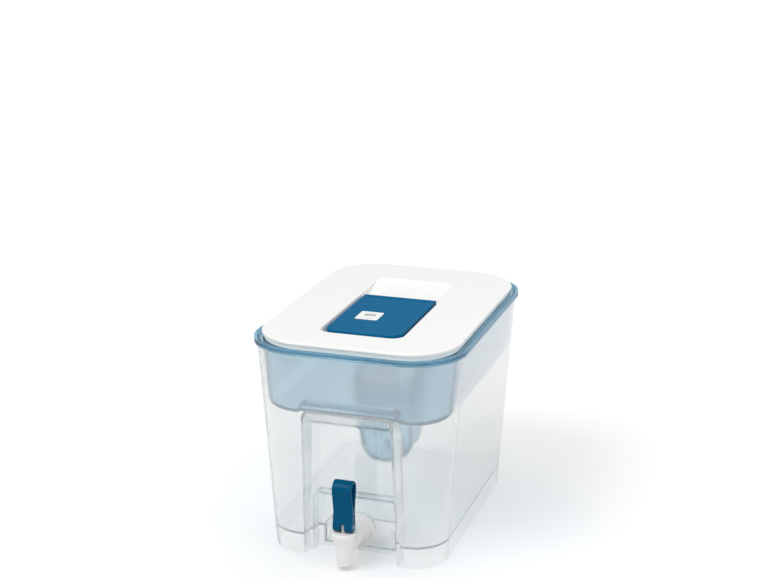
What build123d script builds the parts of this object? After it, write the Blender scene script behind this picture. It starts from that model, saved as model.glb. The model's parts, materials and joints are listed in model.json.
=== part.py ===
"""Gravity water filter with a tap: tank, hopper, cartridge, lid, cover with a change indicator, and tap.

Millimetres, +Z up, +X to the right and -Y towards the person who draws water.
Everything is drawn about the tank's own centre and written out about the middle of the whole footprint.
"""

from build123d import *
import math
import os

# ---------------------------------------------------------------- driving dimensions

# Gaps between pieces
seat_gap = 0.3  # between a piece that lifts off and its seat
slip_gap = 0.5  # around a piece that drops into a pocket
pin_gap = 0.05  # radial, lever on its pin

# Tank
tank_height = 201.6
tank_top_width, tank_top_length, tank_top_radius = 194.0, 278.0, 46.0
tank_foot_width, tank_foot_length, tank_foot_radius = 167.0, 243.0, 31.0
tank_wall = 2.5
floor_underside = 19.0
floor_thickness = 2.6
rim_round = 0.8

# Recesses in the tank's two short faces
recess_top_width, recess_foot_width = 82.0, 89.0
recess_top = 146.0  # where the sloped shoulder meets the outer face
recess_shoulder = 128.0  # where the shoulder meets the back wall
recess_corner = 8.5
recess_back = 110.0  # from the tank's centre to the back wall
recess_round = 5.0  # in the back, where the shoulder meets the back wall

# Pocket below the front recess, which carries the tap
pocket_width, pocket_top, pocket_corner = 80.0, 56.0, 4.0
tap_wall = 99.0  # from the tank's centre to the face that the tap is clamped to

# Sump behind the tap, where the nut and the last water sit
sump_width, sump_length, sump_floor, sump_corner = 68.0, 24.0, 5.2, 6.0

# Hopper
flange_overhang, flange_radius = 3.0, 50.0  # overhang beyond the tank's rim
flange_thickness = 2.0
lip_drop = 1.0  # how far the flange's edge turns down over the tank's rim
lip_gap = 0.4
bead_height, bead_width = 1.6, 3.6
bead_round = 0.7
basin_gap = 2.3  # between the basin and the tank's wall, at the rim
basin_draw = 3.2  # how far each side of the basin stands in at its foot
basin_opening_radius, basin_foot_radius = 40.0, 34.0
basin_depth = 61.2  # from the tank's rim to the basin's underside
basin_round = 9.0
hopper_wall = 2.2
step_top_width, step_foot_width, step_height, step_corner = 88.0, 99.0, 10.0, 5.0
step_reach = 118.5  # from the tank's centre to the step's inner wall
spill_width, spill_depth, spill_slope = 72.0, 2.2, 40.0  # dip in the rear of the bead
clip_bump_radius, clip_bump_height = 0.9, 3.0
clip_places = (-35.0, 40.0)

# Well in the hopper's floor
well_mouth_gap = 3.7  # round the cartridge's band, at the well's mouth
well_waist_side_gap, well_waist_end_gap = 4.1, 3.6  # round the cartridge's cup, at the waist
well_foot_width, well_foot_length = 45.0, 71.0
well_waist_depth = 39.0  # below the basin's underside
well_depth = 80.8  # below the basin's underside
well_round = 20.5
slit_width, slit_height, slit_spacing, slit_rise = 1.2, 13.0, 5.2, 14.0
key_width, key_length, key_height, key_back = 16.0, 9.0, 21.0, 8.0
key_corner, key_round = 3.0, 2.0
ledge_height = 1.5

# Cartridge
band_width, band_length, band_height = 52.0, 91.0, 8.4
cartridge_seat_depth = 11.0  # of the band's underside below the basin's underside
cup_step = 3.2  # how far the cup stands in from the band
cup_depth = 42.6
cup_taper = 2.0  # how much narrower each side of the cup is at its foot
cup_round = 7.0
cup_wall = 1.5
cup_slit_height, cup_slit_rise = 12.0, 5.5
screen_thickness = 1.2
screen_height = 20.0  # of the bottom screen's seat above the cup's underside
screen_seat = 1.1
screen_gap = 0.3
screen_slot_length, screen_slot_width, screen_slot_pitch = 11.0, 2.0, 8.0
cap_rim_wall = 3.0
dome_width, dome_length, dome_height, dome_radius = 38.0, 73.0, 17.6, 15.5
dome_plate, dome_wall = 1.6, 1.5
dome_foot_drop = 3.6  # of the cap's plate below the band's top
dome_taper = 16.0
dome_round = 10.5
face_foot = 28.0  # from the cartridge's centre to the foot of the loop's face
face_tilt = 36.0  # of the loop's face from upright
loop_width, loop_height, loop_bar, loop_thickness = 18.6, 15.0, 1.6, 1.8
loop_corner = 4.5
loop_gap, pad_gap = 0.4, 1.4  # round the loop in its groove, outside and inside
inlet_slot_width, inlet_slot_length, inlet_slot_spacing, inlet_slots = 1.6, 7.6, 4.6, 2

# Lid
lid_margin, lid_radius = 2.3, 48.0  # margin between the lid's edge and the hopper's bead
lid_plate, lid_rise = 2.2, 6.9  # plate thickness, and height of the plate's top above the skirt's foot
lid_skirt_inset, lid_skirt_wall = 2.0, 2.0
lid_round = 1.2
dish_width, dish_front, dish_rear, dish_radius = 80.0, 98.0, 87.0, 12.0
dish_depth = 6.3
dish_side_slope, dish_rear_slope = 2.0, 42.0
dish_lip = 0.9  # rounding of the dish's upper edge
fill_width, fill_front, fill_rear, fill_radius = 66.0, 90.0, 18.0, 12.0
clip_notch_width, clip_notch_height, clip_notch_spacing = 3.0, 2.6, 14.0

# Cover over the fill opening
cover_width, cover_front, cover_rear = 73.0, 92.0, 26.0
cover_front_radius, cover_rear_radius = 14.0, 7.0
cover_height, cover_plate, cover_wall = 6.0, 1.8, 1.8
cover_round = 1.2
cover_hollow_depth, cover_hollow_inset, cover_hollow_slope = 0.7, 5.0, 45.0
nub_radius, nub_drop, nub_inset = 1.5, 1.4, 2.6
nub_places = (-46.0, 0.0)

# Change indicator in the cover
memo_side, memo_front = -10.0, 38.0  # its centre, from the tank's centre to the left and to the front
keel_width, keel_length, keel_drop, keel_corner = 36.0, 33.0, 8.6, 3.0
keel_wall = 1.5
bezel_width, bezel_length, bezel_corner = 22.0, 24.0, 2.0
bezel_flange, bezel_rim = 1.0, 2.0  # its flange under the cover: thickness, and reach past the bezel
bezel_proud = 0.2
window_width, window_length, window_back = 11.0, 7.5, 2.8  # and how far behind the bezel's centre
display_margin, display_thickness = 1.0, 1.5
button_width, button_length, button_front = 11.0, 4.6, 7.0  # and how far before the bezel's centre
button_proud, button_lip, button_lip_thickness = 0.7, 0.8, 0.5
button_gap = 0.25
board_width, board_length, board_thickness = 30.0, 27.0, 1.0
cell_radius, cell_thickness = 8.0, 2.5
door_thickness, door_gap, door_ring_wall = 1.2, 0.2, 1.5

# Tap
tap_height = 21.7  # of the shank's axis
barrel_front = 140.0  # from the tank's centre to the barrel's axis
tap_flange_radius, tap_flange_thickness, flange_round = 16.5, 3.0, 0.8
collar_radius, collar_length = 12.5, 3.2
neck_radius = 9.4
shank_radius, shank_end = 7.9, 3.5  # and how far the shank stands out of its nut
shank_hole_gap = 0.4
inlet_radius = 5.0
washer_radius, washer_thickness = 12.0, 2.0
nut_across_flats, nut_thickness = 25.0, 6.0
spout_foot, spout_top = 5.0, 27.0
spout_foot_radius, spout_top_radius = 7.0, 9.4
spout_bore_radius, chamber_radius, seat_height = 4.6, 7.7, 17.4
bonnet_top = 37.5
bonnet_radius, bonnet_foot_radius = 11.5, 9.9
bonnet_wall, bonnet_round = 1.6, 0.8
stem_radius, stem_hole_gap = 4.0, 0.3
stem_rise = 2.1  # as the lever is drawn down
stem_tab_thickness, stem_tab_half = 3.2, 3.5
stem_disc_radius, stem_disc_thickness = 5.5, 1.5
seat_cup_radius, seat_cup_floor, seat_cup_wall, seat_cup_height = 7.1, 1.8, 1.0, 11.0
pin_radius, pin_height = 1.5, 42.5

# Lever
lever_width, lever_top = 18.4, 87.0
grip_radius, grip_wall = 8.0, 2.6
waist_radius, waist_height = 4.2, 58.0
eye_tip_radius, eye_tip_height = 1.2, 61.5  # lower end of the opening in the grip
cam_radius, cam_forward, cam_up = 6.0, 0.96, 1.1  # round foot, placed from the pin
fork_width, fork_rise = 4.0, 3.9  # and how far the fork is cut above the pin
lever_round = 1.0

# ---------------------------------------------------------------- worked-out places

floor_top = floor_underside + floor_thickness
flange_underside = tank_height + seat_gap
ledge_top = flange_underside + flange_thickness
bead_top = ledge_top + bead_height
basin_inset = tank_wall + basin_gap + hopper_wall  # of the basin's opening, from the tank's rim
basin_opening_width = tank_top_width - 2 * basin_inset
basin_opening_length = tank_top_length - 2 * basin_inset
basin_foot_width = basin_opening_width - 2 * basin_draw
basin_foot_length = basin_opening_length - 2 * basin_draw
flange_width = tank_top_width + 2 * flange_overhang
flange_length = tank_top_length + 2 * flange_overhang
basin_underside = tank_height - basin_depth
basin_floor = basin_underside + hopper_wall
well_underside = basin_underside - well_depth
band_underside = basin_underside - cartridge_seat_depth
band_top = band_underside + band_height
cup_underside = band_underside - cup_depth
cup_width = band_width - 2 * cup_step
cup_length = band_length - 2 * cup_step
well_mouth_width = band_width + 2 * well_mouth_gap
well_mouth_length = band_length + 2 * well_mouth_gap
well_waist_width = cup_width + 2 * well_waist_side_gap
well_waist_length = cup_length + 2 * well_waist_end_gap
cap_ledge = band_underside + cup_wall
screen_seat_top = cup_underside + screen_height
cap_plate_top = band_top - dome_foot_drop
cap_plate_underside = cap_plate_top - dome_plate
lid_foot = ledge_top + seat_gap
lid_top = lid_foot + lid_rise
lid_width = flange_width - 2 * (bead_width + lid_margin)
lid_length = flange_length - 2 * (bead_width + lid_margin)
dish_floor = lid_top - dish_depth
cover_foot = dish_floor + seat_gap
cover_top = cover_foot + cover_height
keel_foot = cover_foot - keel_drop
bezel_underside = cover_top - cover_hollow_depth - cover_plate - bezel_flange
board_top = bezel_underside - display_thickness
cell_top = board_top - board_thickness
bezel_top = cover_top - cover_hollow_depth + bezel_proud
window_place = (memo_side, window_back - memo_front)
button_place = (memo_side, -memo_front - button_front)
nub_reach = cover_width / 2 - nub_inset  # of the cover's feet, to each side

front_reach = barrel_front + bonnet_radius
rear_reach = flange_length / 2
origin_shift = (front_reach - rear_reach) / 2  # tank's centre, behind the footprint's centre

# ---------------------------------------------------------------- shared shapes


def outline_at(low, high, height, z, inset):
    """Width, length and corner radius between two outlines, drawn in by inset, at z of height."""
    share = z / height
    width, length, radius = (a + (b - a) * share for a, b in zip(low, high))
    return width - 2 * inset, length - 2 * inset, radius - inset


def tank_outline(z, inset):
    """Width, length and corner radius of the tank at height z, drawn in from its outer face."""
    foot = (tank_foot_width, tank_foot_length, tank_foot_radius)
    top = (tank_top_width, tank_top_length, tank_top_radius)
    return outline_at(foot, top, tank_height, z, inset)


def tank_block(low, high, inset):
    """Tapered block between two heights of the tank."""
    with BuildPart() as block:
        for z in (low, high):
            with BuildSketch(Plane.XY.offset(z)):
                RectangleRounded(*tank_outline(z, inset))
        loft()
    return block.part


def front_prism(outline, grow, corner, front, rear):
    """Solid with the given outline seen from the front, its top corners rounded, between two y."""
    with BuildPart() as prism:
        with BuildSketch(Plane.XZ.offset(-front)) as view:
            Polygon(*outline, align=None)
            fillet(view.vertices().group_by(Axis.Y)[-1], radius=corner)
            if grow:
                offset(amount=grow, kind=Kind.INTERSECTION)
        extrude(amount=front - rear)
    return prism.part


def recess_block(grow):
    """Front recess as a solid, grown on every side: grown by the wall, it is the recess's shell."""
    face = tank_outline(recess_top, 0)[1] / 2
    beyond = tank_top_length
    side_view = (
        (-beyond, -recess_top),
        (-recess_back, -recess_top),
        (-recess_back, recess_shoulder),
        (-face, recess_top),
        (-beyond, recess_top + beyond - face),
    )
    front_view = (
        (-recess_foot_width / 2, 0),
        (recess_foot_width / 2, 0),
        (recess_top_width / 2, recess_top),
        (-recess_top_width / 2, recess_top),
    )
    with BuildPart() as block:
        with BuildSketch(Plane.YZ) as side:
            Polygon(*side_view, align=None)
            fillet(side.vertices().group_by(Axis.X)[-1].sort_by(Axis.Y)[-1], radius=recess_round)
            if grow:
                offset(amount=grow, kind=Kind.INTERSECTION)
        extrude(amount=recess_foot_width, both=True)
        add(front_prism(front_view, grow, recess_corner, -beyond, 0), mode=Mode.INTERSECT)
    return block.part


def pocket_block(grow):
    """Pocket below the front recess, down to the face that carries the tap."""
    front_view = (
        (-pocket_width / 2, 0),
        (pocket_width / 2, 0),
        (pocket_width / 2, pocket_top),
        (-pocket_width / 2, pocket_top),
    )
    return front_prism(front_view, grow, pocket_corner, -tank_top_length, grow - tap_wall)


def sump_block(grow, low, high):
    """Sump behind the tap, drawn out by grow, between two heights."""
    centre = -(tap_wall - tank_wall) + sump_length / 2
    with BuildPart() as block:
        with BuildSketch(Plane.XY.offset(low)):
            with Locations((0, centre)):
                RectangleRounded(sump_width + 2 * grow, sump_length + 2 * grow, sump_corner)
        extrude(amount=high - low)
    return block.part


def basin_block(inset, low):
    """Tapered block of the hopper's basin, from a height up to the ledge the lid rests on."""
    foot = (basin_foot_width, basin_foot_length, basin_foot_radius)
    top = (
        basin_opening_width + 2 * hopper_wall,
        basin_opening_length + 2 * hopper_wall,
        basin_opening_radius + hopper_wall,
    )
    height = ledge_top - basin_underside
    with BuildPart() as block:
        for z in (low, ledge_top):
            with BuildSketch(Plane.XY.offset(z)):
                RectangleRounded(*outline_at(foot, top, height, z - basin_underside, inset))
        loft()
        fillet(block.faces().sort_by(Axis.Z)[0].edges(), radius=basin_round - inset)
    return block.part


def step_block(grow):
    """Raised step under the front end of the basin, which clears the recess in the tank."""
    low = basin_underside - step_height
    slope = (step_foot_width - step_top_width) / 2
    front_view = (
        (-step_foot_width / 2 - slope, low),
        (step_foot_width / 2 + slope, low),
        (step_top_width / 2, basin_underside + step_height),
        (-step_top_width / 2, basin_underside + step_height),
    )
    return front_prism(front_view, grow, step_corner, -tank_top_length, grow - step_reach)


def oval(width, length, mode=Mode.ADD):
    """Stadium outline, long along Y, in the open sketch."""
    SlotOverall(length, width, rotation=90, mode=mode)


def well_block(inset, low_inset):
    """Cartridge well, convex from its mouth in the basin's floor to its rounded foot."""
    sections = (
        (well_underside + low_inset, well_foot_width, well_foot_length),
        (basin_underside - well_waist_depth, well_waist_width, well_waist_length),
        (basin_underside, well_mouth_width, well_mouth_length),
    )
    with BuildPart() as block:
        for z, width, length in sections:
            with BuildSketch(Plane.XY.offset(z)):
                oval(width - 2 * inset, length - 2 * inset)
        loft()
        fillet(block.faces().sort_by(Axis.Z)[0].edges(), radius=well_round - inset)
        mouth = block.faces().sort_by(Axis.Z)[-1]
        extrude(mouth, amount=basin_round)
    return block.part


def write(piece, name):
    """Label a finished piece, set it about the middle of the footprint and write its file."""
    placed = piece.part.moved(Location((0, origin_shift, 0)))
    placed.label = name
    export_step(placed, f"parts/{name}.step")


os.makedirs("parts", exist_ok=True)

# ---------------------------------------------------------------- tank

front_sections = (recess_block(tank_wall), pocket_block(tank_wall))
front_voids = (recess_block(0), pocket_block(0))
sump_low = sump_floor - tank_wall

with BuildPart() as recess_walls:
    add(front_sections[0])
    add(front_sections[1])
    mirror(recess_block(tank_wall), about=Plane.XZ)
    add(sump_block(tank_wall, sump_low, floor_top))
    add(tank_block(0, tank_height, 0), mode=Mode.INTERSECT)

with BuildPart() as tank:
    add(tank_block(0, tank_height, 0))
    add(tank_block(floor_top, tank_height, tank_wall), mode=Mode.SUBTRACT)
    add(tank_block(0, floor_underside, tank_wall), mode=Mode.SUBTRACT)
    add(recess_walls.part)
    add(front_voids[0], mode=Mode.SUBTRACT)
    add(front_voids[1], mode=Mode.SUBTRACT)
    mirror(recess_block(0), about=Plane.XZ, mode=Mode.SUBTRACT)
    add(sump_block(0, sump_floor, floor_top), mode=Mode.SUBTRACT)
    with BuildSketch(Plane.XZ.offset(tap_wall)):
        with Locations((0, tap_height)):
            Circle(shank_radius + shank_hole_gap)
    extrude(amount=-tank_wall, mode=Mode.SUBTRACT)
    fillet(tank.faces().sort_by(Axis.Z)[-1].edges(), radius=rim_round)
write(tank, "tank")

# ---------------------------------------------------------------- hopper

with BuildPart() as basin_steps:
    add(step_block(hopper_wall))
    mirror(step_block(hopper_wall), about=Plane.XZ)
    add(basin_block(0, basin_underside), mode=Mode.INTERSECT)

with BuildPart() as hopper:
    # Basin wall and floor
    add(basin_block(0, basin_underside))
    add(basin_block(hopper_wall, basin_floor), mode=Mode.SUBTRACT)
    add(basin_steps.part)
    add(step_block(0), mode=Mode.SUBTRACT)
    mirror(step_block(0), about=Plane.XZ, mode=Mode.SUBTRACT)

    # Flange on the tank's rim, with its edge turned down outside and a bead round the lid's seat
    with BuildSketch(Plane.XY.offset(flange_underside)):
        RectangleRounded(flange_width, flange_length, flange_radius)
        RectangleRounded(
            basin_opening_width + hopper_wall,
            basin_opening_length + hopper_wall,
            basin_opening_radius + hopper_wall / 2,
            mode=Mode.SUBTRACT,
        )
    extrude(amount=flange_thickness)
    with BuildSketch(Plane.XY.offset(flange_underside - lip_drop)):
        RectangleRounded(flange_width, flange_length, flange_radius)
        RectangleRounded(
            tank_top_width + 2 * lip_gap,
            tank_top_length + 2 * lip_gap,
            tank_top_radius + lip_gap,
            mode=Mode.SUBTRACT,
        )
    extrude(amount=lip_drop)
    with BuildSketch(Plane.XY.offset(ledge_top)):
        RectangleRounded(flange_width, flange_length, flange_radius)
        RectangleRounded(
            flange_width - 2 * bead_width,
            flange_length - 2 * bead_width,
            flange_radius - bead_width,
            mode=Mode.SUBTRACT,
        )
    bead = extrude(amount=bead_height)
    fillet(bead.faces().sort_by(Axis.Z)[-1].edges(), radius=bead_round)
    with BuildSketch(Plane.XZ.offset(-tank_top_length)):
        with Locations((0, bead_top)):
            Trapezoid(spill_width, 2 * spill_depth, 180 - spill_slope)
    extrude(amount=tank_top_length - basin_opening_length / 2, mode=Mode.SUBTRACT)

    # Well for the cartridge, with the ledge that its band sits on
    add(well_block(0, 0))
    add(well_block(hopper_wall, hopper_wall), mode=Mode.SUBTRACT)
    with BuildSketch(Plane.XY.offset(band_underside - seat_gap - ledge_height)):
        oval(band_width + 2 * slip_gap + hopper_wall, band_length + 2 * slip_gap + hopper_wall)
        oval(cup_width + 2 * slip_gap, cup_length + 2 * slip_gap, Mode.SUBTRACT)
    extrude(amount=ledge_height)

    # Key in the foot of the well, hollow from below
    with BuildSketch(Plane.XY.offset(well_underside)):
        with Locations((0, key_back)):
            RectangleRounded(key_width, key_length, key_corner)
    key = extrude(amount=key_height)
    fillet(key.faces().sort_by(Axis.Z)[-1].edges(), radius=key_round)
    with BuildSketch(Plane.XY.offset(well_underside)):
        with Locations((0, key_back)):
            RectangleRounded(
                key_width - 2 * hopper_wall,
                key_length - 2 * hopper_wall,
                key_corner - hopper_wall,
            )
    extrude(amount=key_height - hopper_wall, mode=Mode.SUBTRACT)

    # Outlet slits in the front of the well
    with BuildSketch(Plane.XZ):
        with Locations((0, well_underside + slit_rise + slit_height / 2)):
            with GridLocations(slit_spacing, 0, 2, 1):
                SlotOverall(slit_height, slit_width, rotation=90)
    extrude(amount=well_mouth_length, mode=Mode.SUBTRACT)

    # Bumps that the lid's clips pass
    for side in (-1, 1):
        for place in clip_places:
            with BuildSketch(Plane.XY.offset(ledge_top - clip_bump_height - flange_thickness)):
                with Locations((side * basin_opening_width / 2, place)):
                    Circle(clip_bump_radius)
            extrude(amount=clip_bump_height)
write(hopper, "hopper")


# ---------------------------------------------------------------- cartridge


def cup_block(inset, low, high, foot_round=0):
    """Tapered oval block of the cartridge's cup between two heights below its band."""
    with BuildPart() as block:
        for z in (low, high):
            narrowing = 2 * cup_taper * (band_underside - z) / cup_depth + 2 * inset
            with BuildSketch(Plane.XY.offset(z)):
                oval(cup_width - narrowing, cup_length - narrowing)
        loft()
        if foot_round:
            fillet(block.faces().sort_by(Axis.Z)[0].edges(), radius=foot_round)
    return block.part


def screen_plate(z, width, length):
    """Oval screen with rows of slots, from z upwards."""
    with BuildPart() as plate:
        with BuildSketch(Plane.XY.offset(z)):
            oval(width, length)
            with GridLocations(screen_slot_length + screen_slot_width, screen_slot_pitch, 2, 8):
                SlotOverall(screen_slot_length, screen_slot_width, mode=Mode.SUBTRACT)
        extrude(amount=screen_thickness)
    return plate


lower_inset = cup_wall + screen_seat
band_opening_width = band_width - 2 * cup_wall
band_opening_length = band_length - 2 * cup_wall

with BuildPart() as cartridge_cup:
    add(cup_block(0, cup_underside, band_underside, cup_round))
    with BuildSketch(Plane.XY.offset(band_underside)):
        oval(band_width, band_length)
    extrude(amount=band_height)
    with BuildSketch(Plane.XY.offset(cap_ledge)):
        oval(band_opening_width, band_opening_length)
    extrude(amount=band_height, mode=Mode.SUBTRACT)
    add(cup_block(cup_wall, screen_seat_top, cap_ledge), mode=Mode.SUBTRACT)
    add(
        cup_block(lower_inset, cup_underside + cup_wall, screen_seat_top, cup_round - lower_inset),
        mode=Mode.SUBTRACT,
    )
    with BuildSketch(Plane.XZ):
        with Locations((0, cup_underside + cup_slit_rise + cup_slit_height / 2)):
            with GridLocations(slit_spacing, 0, 2, 1):
                SlotOverall(cup_slit_height, slit_width, rotation=90)
    extrude(amount=band_length, mode=Mode.SUBTRACT)
write(cartridge_cup, "cartridge_cup")

seat_narrowing = 2 * cup_taper * (1 - screen_height / cup_depth) + 2 * cup_wall + 2 * screen_gap
cartridge_bottom_screen = screen_plate(
    screen_seat_top, cup_width - seat_narrowing, cup_length - seat_narrowing
)
write(cartridge_bottom_screen, "cartridge_bottom_screen")

top_narrowing = 2 * cup_wall + 2 * screen_gap + 2 * cup_taper * screen_thickness / cup_depth
cartridge_top_screen = screen_plate(
    cap_ledge - screen_thickness, cup_width - top_narrowing, cup_length - top_narrowing
)
write(cartridge_top_screen, "cartridge_top_screen")

with BuildPart() as filter_media:
    add(
        cup_block(
            cup_wall + screen_gap,
            screen_seat_top + screen_thickness,
            cap_ledge - screen_thickness,
        )
    )
write(filter_media, "filter_media")


loop_face = Plane(
    origin=(0, -face_foot, band_top),
    x_dir=(1, 0, 0),
    z_dir=(0, -math.cos(math.radians(face_tilt)), math.sin(math.radians(face_tilt))),
)
groove_depth = loop_thickness + loop_gap


def dome_block(inset, low, high):
    """Rounded dome of the cap, with the sloping face for the pull loop, drawn in by inset."""
    with BuildPart() as dome:
        with BuildSketch(Plane.XY.offset(low)):
            RectangleRounded(dome_width - 2 * inset, dome_length - 2 * inset, dome_radius - inset)
        extrude(amount=high - low, taper=dome_taper)
        fillet(dome.faces().sort_by(Axis.Z)[-1].edges(), radius=dome_round - inset)
        split(bisect_by=loop_face.offset(-inset), keep=Keep.BOTTOM)
    return dome.part


def arch(width, height, corner, foot=0, mode=Mode.ADD):
    """Arched outline standing on the sketch's own X axis, in the open sketch."""
    radius = max(corner, loop_gap)
    with BuildSketch(mode=Mode.PRIVATE) as shape:
        with Locations((0, (height + foot) / 2)):
            Rectangle(width, height - foot)
        fillet(shape.vertices().group_by(Axis.Y)[-1], radius=radius)
    add(shape.sketch, mode=mode)


with BuildPart() as cartridge_cap:
    with BuildSketch(Plane.XY.offset(cap_plate_underside)):
        oval(band_opening_width, band_opening_length)
    extrude(amount=dome_plate)
    with BuildSketch(Plane.XY.offset(cap_ledge)):
        oval(band_opening_width, band_opening_length)
        oval(
            band_opening_width - 2 * cap_rim_wall,
            band_opening_length - 2 * cap_rim_wall,
            Mode.SUBTRACT,
        )
    extrude(amount=cap_plate_underside - cap_ledge)
    add(dome_block(0, cap_plate_top, cap_plate_top + dome_height))
    add(
        dome_block(dome_wall + groove_depth, cap_plate_underside, cap_plate_top + dome_height - dome_wall),
        mode=Mode.SUBTRACT,
    )
    with BuildSketch(loop_face.offset(-groove_depth)):
        arch(loop_width + 2 * loop_gap, loop_height + loop_gap, loop_corner + loop_gap, -loop_bar)
        arch(
            loop_width - 2 * (loop_bar + pad_gap),
            loop_height - loop_bar - pad_gap,
            loop_corner - loop_bar - pad_gap,
            -loop_bar,
            Mode.SUBTRACT,
        )
    extrude(amount=2 * groove_depth, mode=Mode.SUBTRACT)
    face_root = face_foot + dome_foot_drop * math.tan(math.radians(face_tilt))
    plate_front = band_opening_length / 2 - cap_rim_wall
    with BuildSketch(Plane.XY.offset(cap_plate_underside)):
        with Locations((0, -(face_root + plate_front) / 2)):
            with GridLocations(inlet_slot_spacing, 0, inlet_slots, 1):
                SlotOverall(inlet_slot_length, inlet_slot_width, rotation=90)
    extrude(amount=dome_plate, mode=Mode.SUBTRACT)
write(cartridge_cap, "cartridge_cap")

with BuildPart() as cartridge_pull_loop:
    with BuildSketch(loop_face.offset(-loop_thickness)):
        arch(loop_width, loop_height, loop_corner)
        arch(
            loop_width - 2 * loop_bar,
            loop_height - loop_bar,
            loop_corner - loop_bar,
            -loop_bar,
            Mode.SUBTRACT,
        )
    extrude(amount=loop_thickness)
write(cartridge_pull_loop, "cartridge_pull_loop")


# ---------------------------------------------------------------- lid

dish_centre = (dish_rear - dish_front) / 2
dish_length = dish_rear + dish_front


def dish_block(grow, drop):
    """Sunk dish of the lid: steep sides and front, long slope at the rear."""
    sections = (
        (dish_floor - drop, dish_side_slope, dish_rear_slope),
        (lid_top, 0, 0),
    )
    with BuildPart() as block:
        for z, side, rear in sections:
            centre = dish_centre + (side - rear) / 2
            with BuildSketch(Plane.XY.offset(z)):
                with Locations((0, centre)):
                    RectangleRounded(
                        dish_width + 2 * grow - 2 * side,
                        dish_length + 2 * grow - side - rear,
                        dish_radius + grow - side,
                    )
        loft()
    return block.part


with BuildPart() as lid:
    # Plate with a rounded edge, and the skirt that stands on the hopper's ledge
    with BuildSketch(Plane.XY.offset(lid_top - lid_plate)):
        RectangleRounded(lid_width, lid_length, lid_radius)
    plate = extrude(amount=lid_plate)
    fillet(plate.faces().sort_by(Axis.Z)[-1].edges(), radius=lid_round)
    with BuildSketch(Plane.XY.offset(lid_foot)):
        for inset, mode in ((lid_skirt_inset, Mode.ADD), (lid_skirt_inset + lid_skirt_wall, Mode.SUBTRACT)):
            RectangleRounded(
                lid_width - 2 * inset, lid_length - 2 * inset, lid_radius - inset, mode=mode
            )
    extrude(amount=lid_rise - lid_plate)

    # Dish with the fill opening in its floor
    add(dish_block(lid_plate, lid_plate))
    add(dish_block(0, 0), mode=Mode.SUBTRACT)
    dish_edges = lid.edges().filter_by_position(Axis.Z, lid_top, lid_top)
    dish_edges = dish_edges.filter_by_position(Axis.X, -dish_width / 2, dish_width / 2)
    fillet(dish_edges, radius=dish_lip)
    fill_centre = -(fill_front + fill_rear) / 2
    with BuildSketch(Plane.XY.offset(dish_floor)):
        with Locations((0, fill_centre)):
            RectangleRounded(fill_width, fill_front - fill_rear, fill_radius)
    extrude(amount=-2 * lid_plate, mode=Mode.SUBTRACT)

    # Dimples for the cover's feet
    with BuildSketch(Plane.XY.offset(dish_floor)):
        for side in (-1, 1):
            with Locations(*((side * nub_reach, place) for place in nub_places)):
                Circle(nub_radius + seat_gap)
    extrude(amount=-nub_drop, mode=Mode.SUBTRACT)

    # Pairs of clip notches in the long sides of the skirt
    skirt_centre = lid_width / 2 - lid_skirt_inset - lid_skirt_wall / 2
    for side in (-skirt_centre, skirt_centre):
        for place in clip_places:
            with BuildSketch(Plane.XY.offset(lid_foot)):
                with Locations((side, place)):
                    with GridLocations(0, clip_notch_spacing, 1, 2):
                        Rectangle(2 * lid_skirt_wall, clip_notch_width)
            extrude(amount=clip_notch_height, mode=Mode.SUBTRACT)
write(lid, "lid")

# ---------------------------------------------------------------- cover over the fill opening

memo_place = (memo_side, -memo_front)


def cover_outline(inset):
    """Outline of the cover in the open sketch, drawn in by inset."""
    with BuildSketch(mode=Mode.PRIVATE) as shape:
        with Locations((0, (cover_rear - cover_front) / 2)):
            Rectangle(cover_width - 2 * inset, cover_rear + cover_front - 2 * inset)
        corners = shape.vertices().group_by(Axis.Y)
        fillet(corners[0], radius=cover_front_radius - inset)
        fillet(corners[-1], radius=cover_rear_radius - inset)
    add(shape.sketch)


with BuildPart() as cover:
    with BuildSketch(Plane.XY.offset(cover_foot)):
        cover_outline(0)
    extrude(amount=cover_height)
    fillet(cover.faces().sort_by(Axis.Z)[-1].edges(), radius=cover_round)
    with BuildSketch(Plane.XY.offset(cover_top - cover_hollow_depth)):
        cover_outline(cover_hollow_inset)
    extrude(amount=cover_hollow_depth, taper=-cover_hollow_slope, mode=Mode.SUBTRACT)
    with BuildSketch(Plane.XY.offset(cover_foot)):
        cover_outline(cover_wall)
    extrude(amount=cover_height - cover_plate - cover_hollow_depth, mode=Mode.SUBTRACT)

    # Keel that houses the change indicator, open at its foot and at the bezel
    with BuildSketch(Plane.XY.offset(keel_foot)):
        with Locations(memo_place):
            RectangleRounded(keel_width, keel_length, keel_corner)
    extrude(amount=cover_top - cover_hollow_depth - cover_plate - keel_foot)
    with BuildSketch(Plane.XY.offset(keel_foot)):
        with Locations(memo_place):
            RectangleRounded(
                keel_width - 2 * keel_wall, keel_length - 2 * keel_wall, keel_corner - keel_wall
            )
    extrude(amount=cover_top - cover_hollow_depth - cover_plate - keel_foot, mode=Mode.SUBTRACT)
    with BuildSketch(Plane.XY.offset(cover_foot)):
        with Locations(memo_place):
            RectangleRounded(
                bezel_width + 2 * button_gap, bezel_length + 2 * button_gap, bezel_corner + button_gap
            )
    extrude(amount=cover_height, mode=Mode.SUBTRACT)

    # Feet that drop into the lid's dimples
    with BuildSketch(Plane.XY.offset(cover_foot - nub_drop)):
        for side in (-1, 1):
            with Locations(*((side * nub_reach, place) for place in nub_places)):
                Circle(nub_radius)
    extrude(amount=nub_drop + cover_plate)
write(cover, "cover")

# ---------------------------------------------------------------- change indicator

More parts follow.
